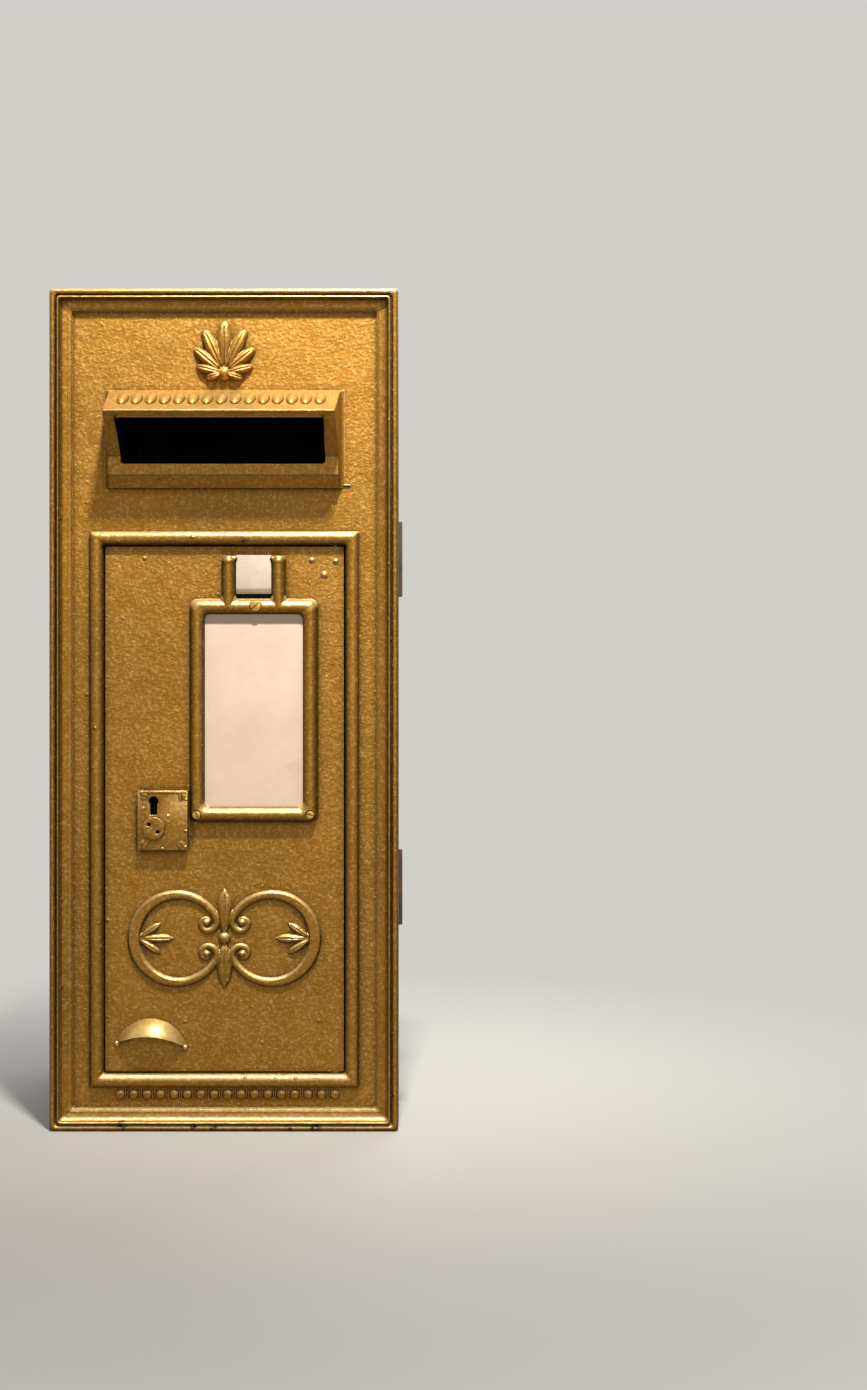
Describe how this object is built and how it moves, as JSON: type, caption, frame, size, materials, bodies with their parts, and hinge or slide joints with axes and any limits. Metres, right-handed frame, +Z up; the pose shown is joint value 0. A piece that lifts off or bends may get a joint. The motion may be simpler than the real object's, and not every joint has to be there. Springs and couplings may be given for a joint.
{
  "type": "wall letter box",
  "caption": "Cast-iron wall letter box with a hooded slot, moulded rim, hinged collection door with a notice frame, cup pull and lock bolt, and a hollow iron case behind.",
  "frame": {"origin": "centre of the cast rim's rear face, on the plane of the wall", "axes": "+Y into the wall, the street side faces -Y; +Z up; +X to the right of someone facing the box"},
  "size_m": [0.296, 0.387, 0.701],
  "materials": {
    "front_paint": "thick gold paint over cast iron, satin, worn dark in the corners",
    "pull_paint": "gold paint rubbed bright by hands",
    "tablet_enamel": "blank off-white enamel with dark edges",
    "card": "blank warm white card",
    "case_iron": "matt black protective paint with rust in the seams",
    "tie_iron": "dark iron with light rust",
    "forged_steel": "oiled steel",
    "lock_brass": "aged brass"
  },
  "bodies": {
    "box": {"rim_moulding": "front_paint", "front_plate": "front_paint", "door_bead": "front_paint", "aperture_hood": "front_paint", "palmette": "front_paint", "door_stops": "case_iron", "hinge_pin_upper": "forged_steel", "hinge_pin_lower": "forged_steel", "lock_keeper": "forged_steel", "case_flange": "case_iron", "corner_angles": "case_iron", "letter_chute": "case_iron", "case_left": "case_iron", "case_right": "case_iron", "case_top": "case_iron", "case_bottom": "case_iron", "case_back": "case_iron", "fixing_tie_upper_left": "tie_iron", "fixing_tie_upper_right": "tie_iron", "fixing_tie_lower_left": "tie_iron", "fixing_tie_lower_right": "tie_iron"},
    "door": {"door_leaf": "front_paint", "notice_frame": "front_paint", "notice_card": "card", "day_tablet": "tablet_enamel", "lock_plate": "front_paint", "cover_disc": "front_paint", "lock_case": "lock_brass", "door_pull": "pull_paint", "door_scrolls": "front_paint"},
    "bolt": {"lock_bolt": "lock_brass"}
  },
  "joints": [
    {"name": "door_hinge", "type": "hinge", "parent": "box", "child": "door", "pos_m": [0.0925, -0.022, -0.083], "axis": [0, 0, 1], "range_deg": [0, 90]},
    {"name": "bolt_slide", "type": "slide", "parent": "door", "child": "bolt", "axis": [-1, 0, 0], "range_m": [0, 0.016]}
  ]
}
